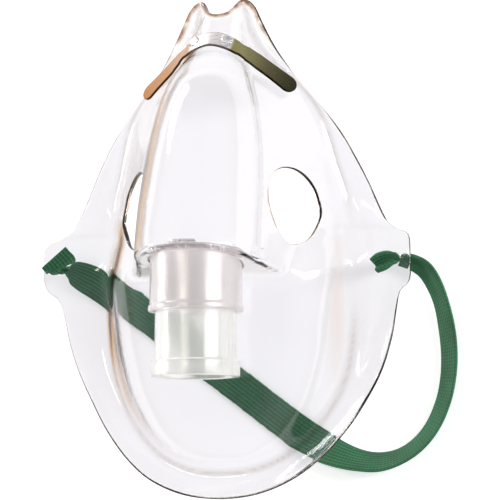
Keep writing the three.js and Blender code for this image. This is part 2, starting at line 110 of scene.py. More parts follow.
# The strap's route: x, y, height of its middle (None where it lies on the resting plane), lean of its
# width from flat in degrees, width, thickness.
BAND_ROUTE = [
    (-47.7, -5.5, 3.4, 0, 6.8, 1.5),
    (-44.8, -6.9, 2.3, 0, 8.6, 1.15),
    (-40.9, -8.9, 1.3, 0, 9.4, 1.05),
    (-36.2, -11.9, 0.7, 0, 9.5, 1),
    (-28.5, -17, None, 0, 9.6, 1),
    (-17, -25.2, None, 0, 9.6, 1),
    (-5.4, -34, None, 0, 9.6, 1),
    (5.8, -42.4, None, 0, 9.6, 1),
    (14.7, -49.2, None, 0, 9.6, 1),
    (21.4, -54, None, 6, 9.6, 1),
    (27.2, -57.5, None, 22, 9.6, 1),
    (32.8, -60, None, 40, 9.6, 1),
    (38.6, -61.6, None, 52, 9.6, 1),
    (44.4, -62, None, 56, 9.6, 1),
    (50, -60.5, None, 60, 9.6, 1),
    (55.1, -57.2, None, 60, 9.6, 1),
    (59.4, -52, None, 59, 9.6, 1),
    (62.5, -45, None, 58, 9.6, 1),
    (64, -37.9, None, 57, 9.6, 1),
    (64.3, -30.9, None, 56, 9.6, 1),
    (63.6, -23.9, None, 56, 9.4, 1),
    (62.2, -17.1, 4.5, 57, 8.8, 1.1),
    (60.1, -11.6, 4.4, 50, 7.6, 1.3),
    (57.6, -7.8, 4.1, 36, 6, 1.6),
    (54.4, -5.7, 3.7, 15, 4.8, 1.9),
    (52.4, -5.1, 3.5, 0, 4.2, 2),
]
# The ends that come up through the tabs: x, y, z, direction of the width in plan, width, thickness.
LEFT_TAIL = [
    (-50.4, -2.2, 13.5, 218, 9.6, 1),
    (-49.4, -3.4, 13.1, 218, 9.6, 1),
    (-48.6, -4.6, 12.2, 218, 9.6, 1),
    (-49.1, -5.1, 11.1, 220, 6.4, 1.2),
    (-49.5, -5.1, 9.3, 224, 3.6, 1.7),
    (-49.6, -5, 6.6, 228, 3.1, 2),
    (-49.2, -5.1, 4.5, 230, 3.2, 1.9),
]
RIGHT_TAIL = [
    (50, -5, 4.3, 90, 3.1, 2),
    (49.6, -5, 6.6, 90, 3.1, 2.4),
    (49.4, -5.1, 9.6, 90, 3.6, 2.8),
    (48.2, -5.5, 11.4, 90, 5, 3.3),
    (46.3, -6.3, 11.8, 90, 5.6, 3.4),
    (44.5, -7.2, 11.4, 90, 5, 3.1),
]
STRAP_WIDTH = 9.6
RIBS = 9


# ---------------------------------------------------------------- camera, as the mask is seen
def aim_camera():
    azimuth, tilt, distance = math.radians(13.6), math.radians(7.9), 0.5
    target = Vector((0.0057, 0, 0))
    back = Vector((math.sin(azimuth) * math.cos(tilt), -math.sin(tilt), math.cos(azimuth) * math.cos(tilt)))
    up = (Vector((0, 1, 0)) - back * back.y).normalized()
    camera = bpy.data.objects.new("camera", bpy.data.cameras.new("camera"))
    turn = Matrix((up.cross(back), up, back)).transposed().to_4x4()
    camera.matrix_world = Matrix.Translation(target + back * distance) @ turn
    camera.data.lens = 122.5
    camera.data.sensor_width = 36
    camera.data.clip_start = 0.02
    bpy.context.collection.objects.link(camera)
    bpy.context.scene.camera = camera


aim_camera()


# ---------------------------------------------------------------- node helpers
def new_material(name):
    material = bpy.data.materials.new(name)
    material.use_nodes = True
    tree = material.node_tree
    return material, tree, tree.nodes["Principled BSDF"], tree.nodes["Material Output"]


def node(tree, kind, inputs=None, **settings):
    """A new node: an input given as another node's socket is linked, and any other is set."""
    made = tree.nodes.new(kind)
    for key, value in settings.items():
        setattr(made, key, value)
    for key, value in (inputs or {}).items():
        if isinstance(value, bpy.types.NodeSocket):
            tree.links.new(value, made.inputs[key])
        else:
            made.inputs[key].default_value = value
    return made


def noise(tree, scale, detail=2.0, rough=0.5, stretch=(1, 1, 1)):
    where = node(tree, "ShaderNodeTexCoord")
    mapped = node(tree, "ShaderNodeMapping", {"Vector": where.outputs["Object"], "Scale": stretch})
    inputs = {"Vector": mapped.outputs[0], "Scale": scale, "Detail": detail, "Roughness": rough}
    return node(tree, "ShaderNodeTexNoise", inputs).outputs["Fac"]


def ramp(tree, value, stops):
    made = node(tree, "ShaderNodeValToRGB", {"Fac": value})
    elements = made.color_ramp.elements
    while len(elements) < len(stops):
        elements.new(0.5)
    for element, (at, colour) in zip(elements, stops):
        element.position = at
        element.color = (*colour, 1)
    return made.outputs["Color"]


def times(tree, first, second):
    """Two colours or values multiplied, as a colour."""
    return node(tree, "ShaderNodeVectorMath", {0: first, 1: second}, operation="MULTIPLY").outputs[0]


def product(tree, first, second):
    """Two values multiplied."""
    return node(tree, "ShaderNodeMath", {0: first, 1: second}, operation="MULTIPLY").outputs[0]


def greys(tree, value, stops):
    return ramp(tree, value, [(at, (level, level, level)) for at, level in stops])


def bump(tree, height, strength, distance, normal=None):
    made = node(tree, "ShaderNodeBump", {"Height": height, "Strength": strength, "Distance": distance})
    if normal is not None:
        tree.links.new(normal, made.inputs["Normal"])
    return made.outputs["Normal"]


def attribute(tree, name):
    return node(tree, "ShaderNodeAttribute", attribute_name=name).outputs["Fac"]


def let_lamps_through(tree, shader, output, tint):
    """Clear plastic throws next to no shadow: light from lamps and matt surfaces passes straight through."""
    path = node(tree, "ShaderNodeLightPath")
    clear = node(tree, "ShaderNodeBsdfTransparent", {"Color": (*tint, 1)}).outputs[0]
    surface = shader
    for ray in ("Is Shadow Ray", "Is Diffuse Ray"):
        surface = node(tree, "ShaderNodeMixShader", {0: path.outputs[ray], 1: surface, 2: clear}).outputs[0]
    tree.links.new(surface, output.inputs["Surface"])


# ---------------------------------------------------------------- materials
def clear_pvc():
    """Soft clear plastic, which shows the room's greys, browns and orange where it is steep, folded or cut.

    The shell gives each point three marks, which paint shade and reflection into its colour: rim, painted
    shade along its cut edges; fold, painted shade at the foot of the nose and of the dome; and wall, a
    painted reflection of the room's orange and browns on the steep left side.
    """
    material, tree, shader, output = new_material("clear_pvc")
    shader.inputs["Transmission Weight"].default_value = 1
    shader.inputs["IOR"].default_value = 1.5
    facing = node(tree, "ShaderNodeLayerWeight", {"Blend": 0.5}).outputs["Facing"]
    glancing = ramp(tree, facing, [
        (0.45, (0.785, 0.79, 0.825)),
        (0.7, (0.67, 0.65, 0.66)),
        (0.86, (0.5, 0.44, 0.4)),
        (1, (0.33, 0.26, 0.22)),
    ])
    # Painted shade along the cut edges, varied in patches by noise.
    cut = attribute(tree, "rim")
    patchy = ramp(tree, noise(tree, 170, 3, 0.6), [(0.4, (0, 0, 0)), (0.62, (1, 1, 1))])
    painted_edge_shade = node(tree, "ShaderNodeMath", {0: cut, 1: patchy, 2: 0.35}, operation="MULTIPLY_ADD").outputs[0]
    rim = ramp(tree, product(tree, cut, painted_edge_shade), [
        (0, (1, 1, 1)),
        (0.25, (0.82, 0.78, 0.75)),
        (0.6, (0.42, 0.27, 0.19)),
        (1, (0.1, 0.055, 0.04)),
    ])
    # Painted shade in the folds at the foot of the nose and of the dome.
    fold = ramp(tree, attribute(tree, "fold"), [
        (0, (1, 1, 1)),
        (0.4, (0.8, 0.76, 0.74)),
        (1, (0.6, 0.55, 0.52)),
    ])
    # Painted reflection of the room's orange and browns on the steep left wall, where that wall is seen at a
    # glancing angle.
    grazed = node(tree, "ShaderNodeMapRange", {"Value": facing, 1: 0.25, 2: 0.5}).outputs[0]
    wall = ramp(tree, product(tree, attribute(tree, "wall"), grazed), [
        (0, (1, 1, 1)),
        (0.12, (0.83, 0.66, 0.52)),
        (0.3, (0.78, 0.46, 0.24)),
        (0.45, (0.58, 0.25, 0.085)),
        (0.62, (0.5, 0.19, 0.055)),
        (0.78, (0.12, 0.07, 0.05)),
        (1, (0.03, 0.02, 0.02)),
    ])
    clear_edge = ramp(tree, cut, [(0, (0, 0, 0)), (0.12, (0.96, 0.95, 0.94))])
    tint = node(tree, "ShaderNodeVectorMath", {0: glancing, 1: clear_edge}, operation="MAXIMUM").outputs[0]
    colour = times(tree, times(tree, times(tree, rim, fold), wall), tint)
    tree.links.new(colour, shader.inputs["Base Color"])
    haze = greys(tree, noise(tree, 260, 4, 0.6), [(0.35, 0.02), (0.75, 0.09)])
    tree.links.new(haze, shader.inputs["Roughness"])
    waves = bump(tree, noise(tree, 55, 1.5, 0.4), 0.5, 0.0006)
    pits = bump(tree, noise(tree, 900, 3, 0.6), 0.12, 0.0001, waves)
    tree.links.new(pits, shader.inputs["Normal"])
    inside = node(tree, "ShaderNodeVolumeAbsorption", {"Color": (0.72, 0.6, 0.5, 1), "Density": 50.0})
    tree.links.new(inside.outputs[0], output.inputs["Volume"])
    let_lamps_through(tree, shader.outputs[0], output, (0.985, 0.985, 0.99))
    return material


def cloudy_plastic(name, colours, roughness, clearness, ior, stretch, waves, tint):
    """Thick plastic with faint clouds, between two colours and two levels of roughness."""
    material, tree, shader, output = new_material(name)
    cloud = noise(tree, 60, 3, 0.55, (1, stretch, 1))
    colour = ramp(tree, cloud, list(zip((0.3, 0.7), colours)))
    tree.links.new(colour, shader.inputs["Base Color"])
    shader.inputs["Transmission Weight"].default_value = clearness
    shader.inputs["IOR"].default_value = ior
    rough = greys(tree, cloud, list(zip((0.3, 0.7), roughness)))
    tree.links.new(rough, shader.inputs["Roughness"])
    tree.links.new(bump(tree, noise(tree, waves, 2), 0.1, 0.0003), shader.inputs["Normal"])
    let_lamps_through(tree, shader.outputs[0], output, tint)
    return material


def collar_pvc():
    return cloudy_plastic(
        "collar_pvc",
        colours=[(0.8, 0.765, 0.775), (0.88, 0.85, 0.85)],
        roughness=[0.17, 0.26],
        clearness=0.74,
        ior=1.5,
        stretch=0.4,
        waves=40,
        tint=(0.93, 0.91, 0.92),
    )


def milky_plastic():
    return cloudy_plastic(
        "milky_plastic",
        colours=[(0.93, 0.94, 0.92), (0.98, 0.98, 0.965)],
        roughness=[0.14, 0.22],
        clearness=0.76,
        ior=1.46,
        stretch=0.5,
        waves=45,
        tint=(0.9, 0.9, 0.89),
    )


def aluminium_strip():
    """Bare metal on the crown, with painted reflections darkening it to olive along the right arm and to
    brown along the left one, and painted shade along its rounded edges.
    """
    material, tree, shader, _ = new_material("aluminium_strip")
    shader.inputs["Metallic"].default_value = 1
    brushed = noise(tree, 1, 3, 0.6, (420, 3200, 3200))
    grain = greys(tree, brushed, [(0.25, 0.82), (0.75, 1.1)])
    # Painted reflections of the room: brown on the left arm, plain metal on the crown, olive on the right
    # arm.
    painted_reflection = ramp(tree, attribute(tree, "reach"), [
        (0.0, (0.42, 0.19, 0.065)),
        (0.35, (0.48, 0.25, 0.1)),
        (0.385, (0.93, 0.93, 0.94)),
        (0.615, (0.95, 0.95, 0.96)),
        (0.64, (0.22, 0.2, 0.08)),
        (0.8, (0.13, 0.12, 0.06)),
        (1.0, (0.05, 0.052, 0.03)),
    ])
    # Painted shade along the strip's rounded edges.
    painted_edge_shade = ramp(tree, attribute(tree, "edge"), [(0.0, (1, 1, 1)), (1.0, (0.2, 0.17, 0.14))])
    colour = times(tree, grain, times(tree, painted_edge_shade, painted_reflection))
    tree.links.new(colour, shader.inputs["Base Color"])
    rough = greys(tree, brushed, [(0.3, 0.26), (0.7, 0.33)])
    tree.links.new(rough, shader.inputs["Roughness"])
    tree.links.new(bump(tree, brushed, 0.2, 0.00002), shader.inputs["Normal"])
    return material


def green_elastic():
    """Knitted elastic: cords of rubber lengthwise, fine green yarn across them."""
    material, tree, shader, _ = new_material("green_elastic")
    across = attribute(tree, "across")
    place = node(tree, "ShaderNodeCombineXYZ", {0: attribute(tree, "along"), 1: across}).outputs[0]
    weave = {"Vector": place, "Scale": 0.34, "Distortion": 1.2, "Detail": 2.0, "Detail Scale": 2.0}
    weft = node(tree, "ShaderNodeTexWave", weave, bands_direction="X").outputs["Fac"]
    cords = product(tree, across, 2 * math.pi * RIBS / STRAP_WIDTH)
    furrow = node(tree, "ShaderNodeMath", {0: cords}, operation="COSINE").outputs[0]
    dyed = ramp(tree, noise(tree, 70, 3, 0.6), [(0.3, (0.015, 0.115, 0.045)), (0.7, (0.035, 0.2, 0.085))])
    # Painted shade: darker in the furrows between the cords, lighter on their tops.
    lines = node(tree, "ShaderNodeMapRange", {"Value": furrow, 1: -1, 2: 0.6, 3: 1.2, 4: 0.55}).outputs[0]
    yarn = node(tree, "ShaderNodeMapRange", {"Value": weft, 3: 0.82, 4: 1.1}).outputs[0]
    # shade holds that painted shade together with the yarn's pattern, and also drives the bump.
    shade = product(tree, lines, yarn)
    tree.links.new(times(tree, dyed, shade), shader.inputs["Base Color"])
    shader.inputs["Roughness"].default_value = 0.72
    shader.inputs["Sheen Weight"].default_value = 0.2
    shader.inputs["Sheen Roughness"].default_value = 0.4
    shader.inputs["Sheen Tint"].default_value = (0.4, 0.8, 0.55, 1)
    tree.links.new(bump(tree, shade, 0.7, 0.0002), shader.inputs["Normal"])
    return material


MATERIALS = {f.__name__: f() for f in (clear_pvc, collar_pvc, milky_plastic, aluminium_strip, green_elastic)}


# ---------------------------------------------------------------- mesh helpers
def make_piece(name, vertices, faces, slot, body, replaced):
    """A piece from vertices in millimetres, with its material, on its body."""
    mesh = bpy.data.meshes.new(name)
    mesh.from_pydata(np.asarray(vertices, float) * MM, [], [list(map(int, f)) for f in faces])
    mesh.validate()
    mesh.polygons.foreach_set("use_smooth", [True] * len(mesh.polygons))
    mesh.materials.append(MATERIALS[slot])
    piece = bpy.data.objects.new(name, mesh)
    bpy.context.collection.objects.link(piece)
    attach(piece, body)
    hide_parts(*replaced)
    return piece


def give(piece, name, values):
    """A named mark at each point of a piece, for its material."""
    values = np.asarray(values, np.float32)
    piece.data.attributes.new(name, "FLOAT", "POINT").data.foreach_set("value", values)


def tube_faces(ring, count):
    """Faces between count rings of points, one after another."""
    faces = []
    for i in range(count - 1):
        for k in range(ring):
            a, b = i * ring + k, i * ring + (k + 1) % ring
            faces.append((a, b, b + ring, a + ring))
    return faces


def through(points):
    """A smooth function through points (at, value), level beyond both ends."""
    at = np.array([p[0] for p in points], float)
    value = np.array([p[1] for p in points], float)
    before = np.maximum(np.arange(len(at)) - 1, 0)
    after = np.minimum(np.arange(len(at)) + 1, len(at) - 1)
    slope = (value[after] - value[before]) / (at[after] - at[before])

    def curve(x):
        x = np.clip(np.asarray(x, float), at[0], at[-1])
        i = np.clip(np.searchsorted(at, x), 1, len(at) - 1)
        span = at[i] - at[i - 1]
        t = (x - at[i - 1]) / span
        return (
            (2 * t**3 - 3 * t**2 + 1) * value[i - 1]
            + (t**3 - 2 * t**2 + t) * span * slope[i - 1]
            + (3 * t**2 - 2 * t**3) * value[i]
            + (t**3 - t**2) * span * slope[i]
        )

    return curve


def spline(points, count, closed=False):
    """Points of a uniform Catmull-Rom curve, count to a span, its directions, and the spans passed."""
    p = np.asarray(points, float)
    n = len(p)
    if closed:
        p = np.vstack([p[-1], p, p[:2]])
        spans = n
    else:
        p = np.vstack([2 * p[0] - p[1], p, 2 * p[-1] - p[-2]])
        spans = n - 1
    u = np.arange(spans * count + (0 if closed else 1)) / count
    i = np.minimum(u.astype(int), spans - 1)
    t = (u - i)[:, None]
    a, b, c, d = p[i], p[i + 1], p[i + 2], p[i + 3]
    place = 0.5 * (2 * b + (c - a) * t + (2 * a - 5 * b + 4 * c - d) * t**2 + (3 * b - a - 3 * c + d) * t**3)
    along = 0.5 * ((c - a) + 2 * (2 * a - 5 * b + 4 * c - d) * t + 3 * (3 * b - a - 3 * c + d) * t**2)
    return place, along / np.linalg.norm(along, axis=1)[:, None], u


# ---------------------------------------------------------------- the shell's shape
CHUNK = 2000  # points worked on at a time, to save memory


def outline(half, per_span):
    """The closed outline whose right half is given."""
    ring = list(half) + [(-x, y) for x, y in half[-2:0:-1]]
    return spline(ring, per_span, closed=True)[0]


def depth_inside(ring, x, y):
    """Distance from points to a closed ring, positive inside it."""
    depth = np.empty(len(x))
    a, b = ring, np.roll(ring, -1, axis=0)
    d = b - a
    length2 = (d**2).sum(1)
    rise = np.where(d[:, 1] == 0, 1e-9, d[:, 1])
    for start in range(0, len(x), CHUNK):
        some = slice(start, start + CHUNK)
        px, py = x[some, None], y[some, None]
        t = np.clip(((px - a[:, 0]) * d[:, 0] + (py - a[:, 1]) * d[:, 1]) / length2, 0, 1)
        nearest = np.hypot(px - a[:, 0] - t * d[:, 0], py - a[:, 1] - t * d[:, 1]).min(1)
        level = (a[:, 1] > py) != (b[:, 1] > py)
        crossed = level & (px < a[:, 0] + (py - a[:, 1]) / rise * d[:, 0])
        depth[some] = np.where(crossed.sum(1) % 2 == 1, nearest, -nearest)
    return depth


RIM = outline(BRIDGE_EDGE + TEMPLE_EDGE + TAB_EDGE + CHIN_EDGE, 12)
SEAL = outline(BRIDGE_EDGE + TEMPLE_EDGE + SEAL_EDGE + CHIN_EDGE, 12)
seal_rise, crest_height, bulb_radius = through(SEAL_RISE), through(CREST_HEIGHT), through(BULB_RADIUS)
flank_slope, dome_height, flange_width = through(FLANK_SLOPE), through(DOME_HEIGHT), through(FLANGE_WIDTH)


def join(a, b, reach):
    """Two depths inside neighbouring shapes, joined with a fillet."""
    h = np.maximum(reach - np.abs(a - b), 0) / reach
    return np.maximum(a, b) + h * h * reach / 4


def meet(a, b, radius):
    """The depth inside what two shapes share, with the edge between them rounded."""
    outside = np.hypot(np.maximum(radius - a, 0), np.maximum(radius - b, 0))
    return np.maximum(radius, np.minimum(a, b)) - outside


def near(a, b, reach):
    """How close two depths are, from 1 where they are equal to 0 at reach."""
    return np.clip(1 - np.abs(a - b) / reach, 0, 1) ** 2


def depth_under(x, y, folds=False):
    """How deep a point at height z lies under the shell's outer face, over the places x, y.

    With folds, it says how near the point is to the folds along the foot of the nose and of the dome.
    """
    across = np.abs(x)
    radius = bulb_radius(y)
    centre = crest_height(y) - radius
    flank = flank_slope(y)
    depth = depth_inside(SEAL, x, y)
    width = flange_width(y)
    line = SEAL_REST + seal_rise(y) + TAB_RISE * np.exp(-(((y - TAB_Y) / TAB_RISE_REACH) ** 2))
    curl = np.clip(1 - depth / width, 0, 1)
    most_curl = np.minimum(FLANGE_CURL * width, MOST_CURL)
    flange = line + most_curl * curl**2 + TAB_FLARE * np.maximum(-depth, 0)
    crown = dome_height(y) - x * x / (2 * DOME_CROWN)

    def under(z):
        from_centre = np.hypot(across, np.maximum(z - centre, 0))
        in_bulb = radius + BULB_FLARE * np.maximum(centre - z, 0) - from_centre
        below_fold = centre - FLANK_FALL - z
        in_flanks = meet((below_fold - (across - radius) * flank) / np.hypot(1, flank), below_fold, 1)
        above_shelf = y - SHELF_Y + (SHELF_TOP - z) / SHELF_SLOPE
        in_shelf = above_shelf * (SHELF_SLOPE / math.hypot(1, SHELF_SLOPE))
        in_nose = meet(join(in_bulb, in_flanks, 2), in_shelf, LIP_RADIUS)
        in_wall = (line - z + (depth - width) * DOME_SLOPE) / math.hypot(1, DOME_SLOPE)
        in_dome = meet(crown - z, in_wall, DOME_EDGE)
        raised = join(in_nose, in_dome, 4)
        if folds:
            return np.maximum(near(in_nose, in_dome, 2.4), near(raised, flange - z, 2.2))
        return join(raised, flange - z, 3)

    return under


def shell_height(x, y):
    """Height of the shell's outer face, found by halving."""
    under = depth_under(x, y)
    low, high = np.full(len(x), -3.0), np.full(len(x), 60.0)
    for _ in range(30):
        middle = (low + high) / 2
        inside = under(middle) > 0
        low, high = np.where(inside, middle, low), np.where(inside, high, middle)
    return low


def on_shell(points, axis, reach=14):
    """Where lines through the points along axis leave the shell's outer face."""
    low, high = np.full(len(points), -float(reach)), np.full(len(points), float(reach))
    for _ in range(26):
        middle = (low + high) / 2
        p = points + middle[:, None] * axis
        inside = depth_under(p[:, 0], p[:, 1])(p[:, 2]) > 0
        low, high = np.where(inside, middle, low), np.where(inside, high, middle)
    return points + low[:, None] * axis


def circle(centre, axis, radius, count):
    """Points around an axis."""
    axis = np.asarray(axis, float)
    first = np.cross(axis, (0, 0, 1)) if abs(axis[2]) < 0.9 else np.array([1.0, 0, 0])
    first = first / np.linalg.norm(first)
    second = np.cross(axis, first)
    turn = np.linspace(0, 2 * math.pi, count, endpoint=False)[:, None]
    return np.asarray(centre) + radius * (np.cos(turn) * first + np.sin(turn) * second)


# Where the shell's mesh has rings and lines of points of its own, by their distance from an edge.
VENT_RINGS = (0.35, 0.8, 1.4)
STRAP_HOLE_RINGS = (0.3, 0.7)
RIM_RINGS = (0.4, 1.0)
BULB_LINES = (-2.6, -1.8, -1.2, -0.75, -0.4, -0.1, 0.2, 0.6, 1.1, 1.8)
# The even grid leaves these open: half the width, lowest y and highest y. The width is measured from
# the middle plane for the nose's underside, and from the bulb's edge on each side for its walls.
SHELF_ZONE = (27.6, -12.3, -4.4)
BULB_ZONE = (2.6, -4.8, 66.2)
GRID_STEP = 1.0
# How near the free points may come to those of the loops and rings.
LEAST_STEP = 0.42
LEAST_SHELF_STEP = 0.07


def shell_loops():
    """The loops to cut the sheet along, seen from above, and rings of points that follow them."""
    loops = [RIM]
    rings = []
    for side in (-1, 1):
        axis = VENT_AXIS * (side, 1, 1)
        for offset in (0, *VENT_RINGS):
            ring = on_shell(circle(VENT_CENTRE * (side, 1, 1), axis, VENT_RADIUS + offset, 120), axis)
            (rings if offset else loops).append(ring[:, :2])
        for offset in (0, *STRAP_HOLE_RINGS):
            ring = circle((side * STRAP_HOLE[0], STRAP_HOLE[1], 0), (0, 0, 1), STRAP_HOLE[2] + offset, 40)
            (rings if offset else loops).append(ring[:, :2])
    port = circle((0, SHELF_Y - 2, PORT_Z), (0, -1, 0), COLLAR["radius"] + GAP, 160)
    loops.append(on_shell(port, np.array([0, -1.0, 0]), 6)[:, :2])
    for offset in RIM_RINGS:
        ring = inset_rim(offset)
        rings.append(ring[depth_inside(RIM, ring[:, 0], ring[:, 1]) > offset * 0.8])
    return loops, rings


def inset_rim(offset):
    """The rim moved inwards."""
    out = np.roll(RIM, -1, axis=0) - np.roll(RIM, 1, axis=0)
    inward = np.stack([-out[:, 1], out[:, 0]], 1)
    inward /= np.linalg.norm(inward, axis=1)[:, None]
    area = np.sum(RIM[:, 0] * np.roll(RIM[:, 1], -1) - np.roll(RIM[:, 0], -1) * RIM[:, 1])
    return RIM + inward * offset * np.sign(area)


def far_from(points, others, reach):
    """The points that are at least reach from all the others."""
    keep = np.ones(len(points), bool)
    for start in range(0, len(points), CHUNK):
        gap = points[start:start + CHUNK, None, :] - others[None, :, :]
        keep[start:start + CHUNK] = (gap**2).sum(2).min(1) > reach * reach
    return points[keep]


def shelf_places():
    """Points close together along y, where the nose's underside is steep."""
    x, y = np.arange(-27.3, 27.4, 0.7), np.arange(-12, -4.6, 0.1)
    return np.stack(np.meshgrid(x, y), -1).reshape(-1, 2)


def bulb_side_places():
    """Lines of points along both sides of the bulb, where the surface is steep."""
    places = []
    for y in np.arange(SHELF_ZONE[2], 66, 0.8):
        radius = float(bulb_radius(y))
        for offset in BULB_LINES:
            places += [(radius + offset, y), (-radius - offset, y)]
    return np.array(places)


def grid_places():
    """An even grid, left open along the bulb's sides and at the nose's underside."""
    rows = []
    for k, y in enumerate(np.arange(-72, 73, GRID_STEP * 0.866)):
        x = np.arange(-54, 54.5, GRID_STEP) + (0.5 * GRID_STEP if k % 2 else 0)
        rows.append(np.stack([x, np.full(len(x), y)], 1))
    grid = np.vstack(rows)
    x, y = np.abs(grid[:, 0]), grid[:, 1]

    def in_zone(distance, zone):
        return (distance < zone[0]) & (y > zone[1]) & (y < zone[2])

    by_bulb = np.abs(x - bulb_radius(y) + 0.4)
    return grid[~in_zone(by_bulb, BULB_ZONE) & ~in_zone(x, SHELF_ZONE)]


def flat_mesh():
    """Triangles over the mask's outline seen from above, with its holes left out."""
    loops, rings = shell_loops()
    loop_points, ring_points = np.vstack(loops), np.vstack(rings)
    free = np.vstack([grid_places(), bulb_side_places()])
    free = far_from(free, np.vstack([ring_points, loop_points]), LEAST_STEP)
    free = np.vstack([free, far_from(shelf_places(), loop_points, LEAST_SHELF_STEP)])
    free = free[depth_inside(RIM, free[:, 0], free[:, 1]) > LEAST_STEP]
    places = np.vstack([loop_points, ring_points, free])

    edges = []
    start = 0
    for loop in loops:
        n = len(loop)
        edges += [(start + i, start + (i + 1) % n) for i in range(n)]
        start += n
    found = delaunay_2d_cdt([Vector(p) for p in places], edges, [], 0, 1e-6)
    xy = np.array([v[:] for v in found[0]])
    triangles = np.array(found[2])
    middle = xy[triangles].mean(1)
    keep = depth_inside(RIM, middle[:, 0], middle[:, 1]) > 0
    for loop in loops[1:]:
        keep &= depth_inside(loop, middle[:, 0], middle[:, 1]) < 0
    triangles = triangles[keep]
    a, b, c = (xy[triangles[:, k]] for k in range(3))
    clockwise = (b[:, 0] - a[:, 0]) * (c[:, 1] - a[:, 1]) - (b[:, 1] - a[:, 1]) * (c[:, 0] - a[:, 0]) < 0
    triangles[clockwise] = triangles[clockwise][:, ::-1]
    used = np.unique(triangles)
    number = np.full(len(xy), -1)
    number[used] = np.arange(len(used))
    return xy[used], number[triangles]


def shell_mesh():
    """The shell's outer and inner faces, with the same triangles."""
    xy, triangles = flat_mesh()
    outer = np.column_stack([xy, shell_height(xy[:, 0], xy[:, 1])])
    inner = outer - vertex_normals(outer, triangles) * WALL
    return outer, inner, triangles


def vertex_normals(points, triangles):
    """Directions out of the surface, from the triangles around each point by their areas."""
    a, b, c = (points[triangles[:, k]] for k in range(3))
    face = np.cross(b - a, c - a)
    normal = np.zeros_like(points)
    for k in range(3):
        np.add.at(normal, triangles[:, k], face)
    return normal / np.linalg.norm(normal, axis=1)[:, None]


EDGE_STEPS = 5  # faces across the rounded edge
EDGE_BULGE = 0.95  # how far it stands out, where 1 is half a circle


def closed_sheet(outer, inner, triangles):
    """A closed solid between two faces, its free edges rounded."""
    n = len(outer)
    faces = [tuple(t) for t in triangles] + [tuple(n + t[::-1]) for t in triangles]
    sides = dict.fromkeys((t[k], t[(k + 1) % 3]) for t in triangles for k in range(3))
    border = [e for e in sides if (e[1], e[0]) not in sides]
    following = dict(border)
    leading = {b: a for a, b in border}
    ends = np.array(sorted(following))
    after = np.array([following[e] for e in ends])
    before = np.array([leading[e] for e in ends])
    along = outer[after] - outer[before]
    across = outer[ends] - inner[ends]
    out = np.cross(along, across)
    out /= np.linalg.norm(out, axis=1)[:, None]
    middle = (outer[ends] + inner[ends]) / 2
    radius = np.linalg.norm(across, axis=1)[:, None] / 2
    points = [outer, inner]
    for k in range(1, EDGE_STEPS):
        angle = math.pi * k / EDGE_STEPS
        points.append(middle + across / 2 * math.cos(angle) + out * radius * EDGE_BULGE * math.sin(angle))
    order = {e: i for i, e in enumerate(ends)}

    def level(e, k):
        if k == 0:
            return e
        if k == EDGE_STEPS:
            return e + n
        return 2 * n + (k - 1) * len(ends) + order[e]

    for a, b in border:
        for k in range(EDGE_STEPS):
            faces.append((level(a, k), level(a, k + 1), level(b, k + 1), level(b, k)))
    return np.vstack(points), faces


outer_face, inner_face, shell_triangles = shell_mesh()
shell_points, shell_faces = closed_sheet(outer_face, inner_face, shell_triangles)
shell = make_piece("shell_clear", shell_points, shell_faces, "clear_pvc", "mask", ["mask_shell"])

# How strong the shell's painted shade and painted reflection are along y, where 1 is full strength.
RIM_PAINTED_SHADE = [(-72, 0.16), (-40, 0.16), (0, 0.2), (30, 0.26), (50, 0.5), (62, 0.85), (72, 1.1)]
VENT_PAINTED_SHADE = 0.72
BRIDGE_PAINTED_SHADE = [(56, 0), (64, 0.8), (72, 1)]
FOLD_PAINTED_SHADE = [(-26, 0.5), (-16, 0.1), (10, 0.1), (20, 0.45)]
NOSE_PAINTED_REFLECTION = [(-7, 0), (-3, 0.75), (4, 0.9), (12, 1), (22, 0.95), (28, 0.75), (56, 0.75), (64, 0)]
NOSE_PAINTED_REFLECTION_PLACE = [(-6, 0.87), (34, 0.87), (46, 1), (56, 1.15)]  # as a share of the bulb's radius
DOME_FOOT_PAINTED_REFLECTION = [(-56, 0), (-44, 0.5), (-36, 0.75), (-28, 1), (2, 1), (9, 0)]
DOME_FOOT_X = [(-57, 22.3), (-51, 29.3), (-42, 33.9), (-35, 36), (-26, 36.4), (-17, 35.4), (-11, 32.6),
               (-4, 30.6), (8, 30.6)]
RIGHT_PAINTED_REFLECTION = [(-44, 0), (-34, 1), (0, 1), (9, 0)]


def rim_painted_shade(x, y):
    """Painted shade on the shell's cut edge: darkest at the bridge and the vents, least under the chin."""
    vents = np.column_stack([np.sign(x) * VENT_CENTRE[0], np.full(len(x), VENT_CENTRE[1])])
    by_vent = np.hypot(x - vents[:, 0], y - vents[:, 1]) < VENT_RADIUS + 2
    return np.where(by_vent, VENT_PAINTED_SHADE, through(RIM_PAINTED_SHADE)(y))


def stripe(x, middle, width):
    """A soft stripe along the mask."""
    return np.exp(-(((x - middle) / width) ** 2))


def painted_wall_reflection(x, y):
    """Painted reflection of the room's browns on the steep left wall of the nose and along the foot of the
    dome.
    """
    nose_wall = -through(NOSE_PAINTED_REFLECTION_PLACE)(y) * bulb_radius(y)
    nose = stripe(x, nose_wall, 1.7) * through(NOSE_PAINTED_REFLECTION)(y)
    foot = stripe(x, -through(DOME_FOOT_X)(y), 1.15) * through(DOME_FOOT_PAINTED_REFLECTION)(y)
    right = 0.1 * stripe(x, 33, 2.6) * through(RIGHT_PAINTED_REFLECTION)(y)
    return np.maximum(np.maximum(nose, foot), right)


